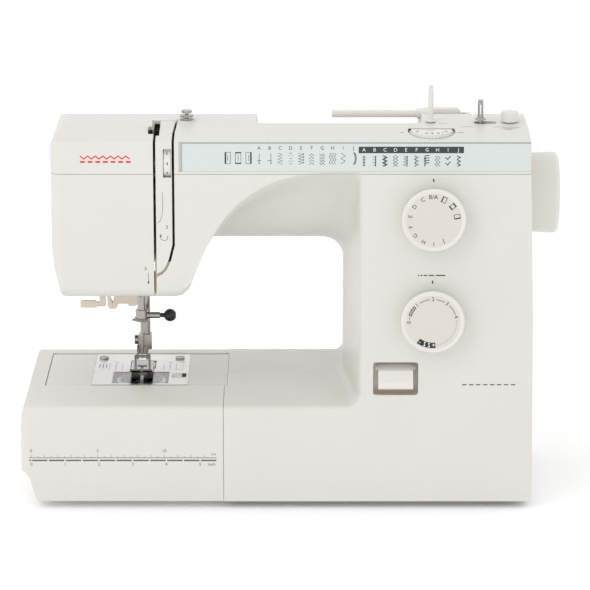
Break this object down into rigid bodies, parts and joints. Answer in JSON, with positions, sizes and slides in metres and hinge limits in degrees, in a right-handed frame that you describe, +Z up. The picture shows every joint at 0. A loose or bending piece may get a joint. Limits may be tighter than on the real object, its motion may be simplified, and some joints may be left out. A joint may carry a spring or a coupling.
{
  "type": "sewing machine",
  "caption": "Free-arm domestic sewing machine with white casing, front selector dials, hand wheel, spool pin, needle and presser bars, bobbin hook and a slide-off extension table.",
  "frame": {"origin": "on the table under the middle of the machine's box", "axes": "+X from the needle end to the hand wheel, +Y from the operator to the back, +Z up"},
  "size_m": [0.4066, 0.178, 0.318],
  "materials": {
    "casing_white": "fine satin",
    "control_white": "smooth satin",
    "chart_grey": "printed film",
    "polished_steel": "polished",
    "brushed_steel": "brushed",
    "black_plastic": "satin",
    "rubber": "matte",
    "cast_metal": "as cast",
    "bronze": "sintered",
    "clear_plastic": "clear",
    "lens": "diffusing"
  },
  "bodies": {
    "root": {"front_cover": "casing_white", "rear_cover": "casing_white", "top_cover": "casing_white", "face_cover": "casing_white", "thread_guide_plate": "casing_white", "stitch_chart": "chart_grey", "free_arm_cover": "casing_white", "base_plate": "cast_metal", "rubber_feet": "rubber", "main_frame": "cast_metal", "shaft_bushes": "bronze", "needle_plate": "brushed_steel", "plate_screws": "polished_steel", "hook_race": "black_plastic", "lamp": "lens", "tension_discs": "polished_steel", "motor": "black_plastic", "motor_belt": "rubber", "timing_belt": "rubber", "power_inlet": "black_plastic", "winding_guide": "polished_steel", "winder_stopper": "control_white", "thread_cutter": "control_white", "cover_screws": "brushed_steel", "bobbin_case": "black_plastic"},
    "arm_shaft": {"hand_wheel": "control_white", "main_shaft": "brushed_steel"},
    "lower_shaft": {"lower_shaft": "brushed_steel"},
    "hook": {"rotary_hook": "brushed_steel"},
    "bobbin": {"bobbin": "clear_plastic"},
    "motor_rotor": {"motor_pulley": "brushed_steel"},
    "needle_bar": {"needle_bar": "polished_steel", "needle_clamp": "polished_steel", "needle": "polished_steel"},
    "clamp_screw": {"clamp_screw": "black_plastic"},
    "take_up": {"take_up_lever": "polished_steel"},
    "presser_bar": {"presser_bar": "polished_steel", "presser_spring": "brushed_steel", "foot_holder": "polished_steel"},
    "foot_screw": {"foot_screw": "polished_steel"},
    "presser_foot": {"presser_foot": "polished_steel"},
    "presser_lifter": {"presser_lifter": "control_white"},
    "threader": {"needle_threader": "control_white"},
    "hook_cover": {"hook_cover": "clear_plastic"},
    "cover_release": {"cover_release": "control_white"},
    "feed_bar": {"feed_bar": "cast_metal"},
    "feed_dogs": {"feed_dogs": "brushed_steel"},
    "extension_table": {"extension_table": "casing_white"},
    "tension_dial": {"tension_dial": "control_white"},
    "width_dial": {"width_dial": "control_white"},
    "pattern_dial": {"pattern_dial": "control_white"},
    "length_dial": {"length_dial": "control_white"},
    "reverse_lever": {"reverse_lever": "control_white"},
    "spool_pin": {"spool_pin": "control_white"},
    "extra_spool_pin": {"extra_spool_pin": "control_white"},
    "winder_base": {"winder_base": "control_white"},
    "winder_spindle": {"winder_spindle": "polished_steel"},
    "carrying_handle": {"carrying_handle": "control_white"},
    "power_switch": {"power_switch": "black_plastic"},
    "drop_feed_lever": {"drop_feed_lever": "black_plastic"}
  },
  "joints": [
    {"name": "main_shaft_spin", "type": "hinge", "parent": "root", "child": "arm_shaft", "pos_m": [0.19, 0.012, 0.226], "axis": [1, 0, 0], "continuous": true},
    {"name": "lower_shaft_spin", "type": "hinge", "parent": "root", "child": "lower_shaft", "pos_m": [0, -0.004, 0.0455], "axis": [1, 0, 0], "continuous": true},
    {"name": "hook_spin", "type": "hinge", "parent": "root", "child": "hook", "pos_m": [-0.115, -0.004, 0.06], "axis": [0, 0, 1], "continuous": true},
    {"name": "motor_spin", "type": "hinge", "parent": "root", "child": "motor_rotor", "pos_m": [0.16, 0.034, 0.052], "axis": [1, 0, 0], "continuous": true},
    {"name": "bobbin_spin", "type": "hinge", "parent": "root", "child": "bobbin", "pos_m": [-0.115, -0.004, 0.07], "axis": [0, 0, 1], "continuous": true},
    {"name": "needle_bar_slide", "type": "slide", "parent": "root", "child": "needle_bar", "axis": [0, 0, 1], "range_m": [-0.027, 0]},
    {"name": "clamp_screw_turn", "type": "hinge", "parent": "needle_bar", "child": "clamp_screw", "pos_m": [-0.095, 0.012, 0.1287], "axis": [1, 0, 0], "range_deg": [-180, 180]},
    {"name": "take_up_swing", "type": "hinge", "parent": "root", "child": "take_up", "pos_m": [-0.1016, -0.004, 0.245], "axis": [1, 0, 0], "range_deg": [0, 50]},
    {"name": "presser_bar_slide", "type": "slide", "parent": "root", "child": "presser_bar", "axis": [0, 0, 1], "range_m": [0, 0.007], "deforming": ["presser_spring"]},
    {"name": "foot_screw_turn", "type": "hinge", "parent": "presser_bar", "child": "foot_screw", "pos_m": [-0.12, 0.027, 0.105], "axis": [1, 0, 0], "range_deg": [-180, 180]},
    {"name": "presser_foot_tilt", "type": "hinge", "parent": "presser_bar", "child": "presser_foot", "pos_m": [-0.115, 0.017, 0.0942], "axis": [1, 0, 0], "range_deg": [-4, 4]},
    {"name": "presser_lifter_swing", "type": "hinge", "parent": "root", "child": "presser_lifter", "pos_m": [-0.102, 0.052, 0.174], "axis": [1, 0, 0], "range_deg": [0, 45]},
    {"name": "threader_slide", "type": "slide", "parent": "root", "child": "threader", "axis": [0, 0, 1], "range_m": [-0.03, 0]},
    {"name": "hook_cover_pop", "type": "hinge", "parent": "root", "child": "hook_cover", "pos_m": [-0.115, 0.00815, 0.08305], "axis": [-1, 0, 0], "range_deg": [0, 3]},
    {"name": "cover_release_slide", "type": "slide", "parent": "root", "child": "cover_release", "axis": [1, 0, 0], "range_m": [0, 0.003], "stiffness_N_per_m": 200},
    {"name": "feed_bar_stroke", "type": "slide", "parent": "root", "child": "feed_bar", "axis": [0, 1, 0], "range_m": [-0.002, 0.002]},
    {"name": "feed_dog_drop", "type": "slide", "parent": "feed_bar", "child": "feed_dogs", "axis": [0, 0, 1], "range_m": [-0.0003, 0]},
    {"name": "table_slide", "type": "slide", "parent": "root", "child": "extension_table", "axis": [-1, 0, 0], "range_m": [0, 0.16]},
    {"name": "tension_dial_turn", "type": "hinge", "parent": "root", "child": "tension_dial", "pos_m": [-0.09, -0.059, 0.2674], "axis": [1, 0, 0], "range_deg": [-150, 150]},
    {"name": "width_dial_turn", "type": "hinge", "parent": "root", "child": "width_dial", "pos_m": [0.104, -0.053, 0.285], "axis": [0, 0, 1], "range_deg": [-100, 100]},
    {"name": "pattern_dial_turn", "type": "hinge", "parent": "root", "child": "pattern_dial", "pos_m": [0.105, -0.08, 0.228], "axis": [0, 1, 0], "continuous": true},
    {"name": "length_dial_turn", "type": "hinge", "parent": "root", "child": "length_dial", "pos_m": [0.105, -0.08, 0.1506], "axis": [0, 1, 0], "range_deg": [-150, 130]},
    {"name": "reverse_lever_press", "type": "hinge", "parent": "root", "child": "reverse_lever", "pos_m": [0.078, -0.0664, 0.109], "axis": [1, 0, 0], "range_deg": [0, 14], "stiffness_Nm_per_rad": 0.6},
    {"name": "spool_pin_fold", "type": "hinge", "parent": "root", "child": "spool_pin", "pos_m": [0.122, 0.01, 0.285], "axis": [0, 1, 0], "range_deg": [0, 90]},
    {"name": "extra_pin_lift", "type": "slide", "parent": "root", "child": "extra_spool_pin", "axis": [0, 0, 1], "range_m": [0, 0.03]},
    {"name": "winder_engage", "type": "slide", "parent": "root", "child": "winder_base", "axis": [1, 0, 0], "range_m": [0, 0.008]},
    {"name": "winder_spin", "type": "hinge", "parent": "winder_base", "child": "winder_spindle", "pos_m": [0.141, -0.035, 0.3], "axis": [0, 0, 1], "continuous": true},
    {"name": "handle_fold", "type": "hinge", "parent": "root", "child": "carrying_handle", "pos_m": [0.037, 0.054, 0.2644], "axis": [1, 0, 0], "range_deg": [0, 90]},
    {"name": "power_switch_rock", "type": "hinge", "parent": "root", "child": "power_switch", "pos_m": [0.1781, 0.034, 0.0505], "axis": [0, 1, 0], "range_deg": [0, 8]},
    {"name": "drop_feed_shift", "type": "slide", "parent": "root", "child": "drop_feed_lever", "axis": [1, 0, 0], "range_m": [0, 0.008]}
  ],
  "couplings": [
    {"joint": "lower_shaft_spin", "follows": "main_shaft_spin", "ratio": 1},
    {"joint": "hook_spin", "follows": "main_shaft_spin", "ratio": -2},
    {"joint": "motor_spin", "follows": "main_shaft_spin", "ratio": 5},
    {"joint": "take_up_swing", "follows": "needle_bar_slide", "rad_per_m": -32.321},
    {"joint": "presser_lifter_swing", "follows": "presser_bar_slide", "rad_per_m": 112.19}
  ]
}
